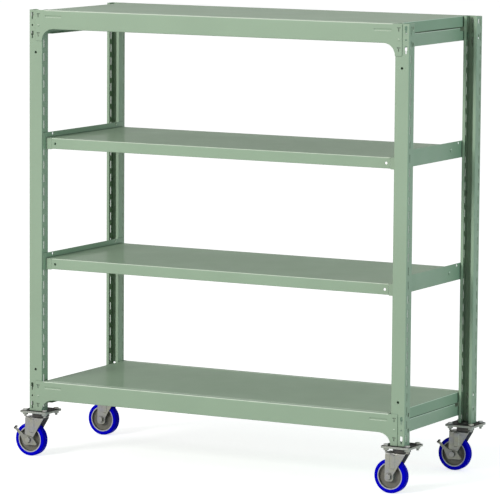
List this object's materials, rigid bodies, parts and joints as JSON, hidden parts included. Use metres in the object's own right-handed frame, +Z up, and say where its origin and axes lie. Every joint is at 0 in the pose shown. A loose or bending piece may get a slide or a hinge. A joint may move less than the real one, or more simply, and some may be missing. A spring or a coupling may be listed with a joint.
{
  "type": "mobile shelving",
  "caption": "Sage-green steel mobile shelving with slotted channel posts, full-depth shelf pans and swivel casters, two of them braked.",
  "frame": {"origin": "on the floor, under the middle of the whole outline at rest, with the wheels trailing to -X", "axes": "+X along the width to the right seen from the front, -Y towards the front, +Z up"},
  "size_m": [1.6676, 0.651, 1.6778],
  "materials": {
    "frame_paint": "satin",
    "shelf_paint": "gloss",
    "plate_steel": "dull zinc plate",
    "zinc_steel": "zinc plate",
    "hub_nylon": "moulded",
    "tyre_blue": "smooth elastic tread",
    "pad_rubber": "matt"
  },
  "bodies": {
    "frame": {"post_front_left": "frame_paint", "post_front_right": "frame_paint", "post_rear_left": "frame_paint", "post_rear_right": "frame_paint", "beam_bottom_front": "frame_paint", "beam_bottom_rear": "frame_paint", "beam_top_front": "frame_paint", "beam_top_rear": "frame_paint", "side_tie_bottom_left": "frame_paint", "side_tie_bottom_right": "frame_paint", "side_tie_top_left": "frame_paint", "side_tie_top_right": "frame_paint", "side_support_lower_left": "frame_paint", "side_support_lower_right": "frame_paint", "side_support_upper_left": "frame_paint", "side_support_upper_right": "frame_paint", "shelf_bottom": "shelf_paint", "shelf_lower": "shelf_paint", "shelf_upper": "shelf_paint", "shelf_top": "shelf_paint", "stiffener_bottom": "frame_paint", "stiffener_lower": "frame_paint", "stiffener_upper": "frame_paint", "stiffener_top": "frame_paint", "foot_plate_front_left": "plate_steel", "foot_plate_front_right": "plate_steel", "foot_plate_rear_left": "plate_steel", "foot_plate_rear_right": "plate_steel", "caster_plate_front_left": "plate_steel", "caster_plate_front_right": "plate_steel", "caster_plate_rear_left": "plate_steel", "caster_plate_rear_right": "plate_steel", "kingpin_front_left": "zinc_steel", "kingpin_front_right": "zinc_steel", "kingpin_rear_left": "zinc_steel", "kingpin_rear_right": "zinc_steel"},
    "swivel_front_left": {"fork_front_left": "zinc_steel", "axle_front_left": "zinc_steel", "ball_cage_front_left": "zinc_steel"},
    "swivel_front_right": {"fork_front_right": "zinc_steel", "axle_front_right": "zinc_steel", "ball_cage_front_right": "zinc_steel"},
    "swivel_rear_left": {"fork_rear_left": "zinc_steel", "axle_rear_left": "zinc_steel", "ball_cage_rear_left": "zinc_steel"},
    "swivel_rear_right": {"fork_rear_right": "zinc_steel", "axle_rear_right": "zinc_steel", "ball_cage_rear_right": "zinc_steel"},
    "wheel_front_left": {"hub_front_left": "hub_nylon", "tyre_front_left": "tyre_blue"},
    "wheel_front_right": {"hub_front_right": "hub_nylon", "tyre_front_right": "tyre_blue"},
    "wheel_rear_left": {"hub_rear_left": "hub_nylon", "tyre_rear_left": "tyre_blue"},
    "wheel_rear_right": {"hub_rear_right": "hub_nylon", "tyre_rear_right": "tyre_blue"},
    "lever_front_left": {"brake_lever_front_left": "zinc_steel", "lever_pad_front_left": "pad_rubber"},
    "lever_rear_right": {"brake_lever_rear_right": "zinc_steel", "lever_pad_rear_right": "pad_rubber"}
  },
  "joints": [
    {"name": "swivel_turn_front_left", "type": "hinge", "parent": "frame", "child": "swivel_front_left", "pos_m": [-0.72923, -0.2675, 0.16], "axis": [0, 0, 1], "continuous": true},
    {"name": "swivel_turn_front_right", "type": "hinge", "parent": "frame", "child": "swivel_front_right", "pos_m": [0.77577, -0.2675, 0.16], "axis": [0, 0, 1], "continuous": true},
    {"name": "swivel_turn_rear_left", "type": "hinge", "parent": "frame", "child": "swivel_rear_left", "pos_m": [-0.72923, 0.2675, 0.16], "axis": [0, 0, 1], "continuous": true},
    {"name": "swivel_turn_rear_right", "type": "hinge", "parent": "frame", "child": "swivel_rear_right", "pos_m": [0.77577, 0.2675, 0.16], "axis": [0, 0, 1], "continuous": true},
    {"name": "wheel_roll_front_left", "type": "hinge", "parent": "swivel_front_left", "child": "wheel_front_left", "pos_m": [-0.76923, -0.2675, 0.0625], "axis": [0, 1, 0], "continuous": true},
    {"name": "wheel_roll_front_right", "type": "hinge", "parent": "swivel_front_right", "child": "wheel_front_right", "pos_m": [0.73577, -0.2675, 0.0625], "axis": [0, 1, 0], "continuous": true},
    {"name": "wheel_roll_rear_left", "type": "hinge", "parent": "swivel_rear_left", "child": "wheel_rear_left", "pos_m": [-0.76923, 0.2675, 0.0625], "axis": [0, 1, 0], "continuous": true},
    {"name": "wheel_roll_rear_right", "type": "hinge", "parent": "swivel_rear_right", "child": "wheel_rear_right", "pos_m": [0.73577, 0.2675, 0.0625], "axis": [0, 1, 0], "continuous": true},
    {"name": "brake_press_front_left", "type": "hinge", "parent": "swivel_front_left", "child": "lever_front_left", "pos_m": [-0.76923, -0.2675, 0.0625], "axis": [0, 1, 0], "range_deg": [-18, 0]},
    {"name": "brake_press_rear_right", "type": "hinge", "parent": "swivel_rear_right", "child": "lever_rear_right", "pos_m": [0.73577, 0.2675, 0.0625], "axis": [0, 1, 0], "range_deg": [-18, 0]}
  ]
}
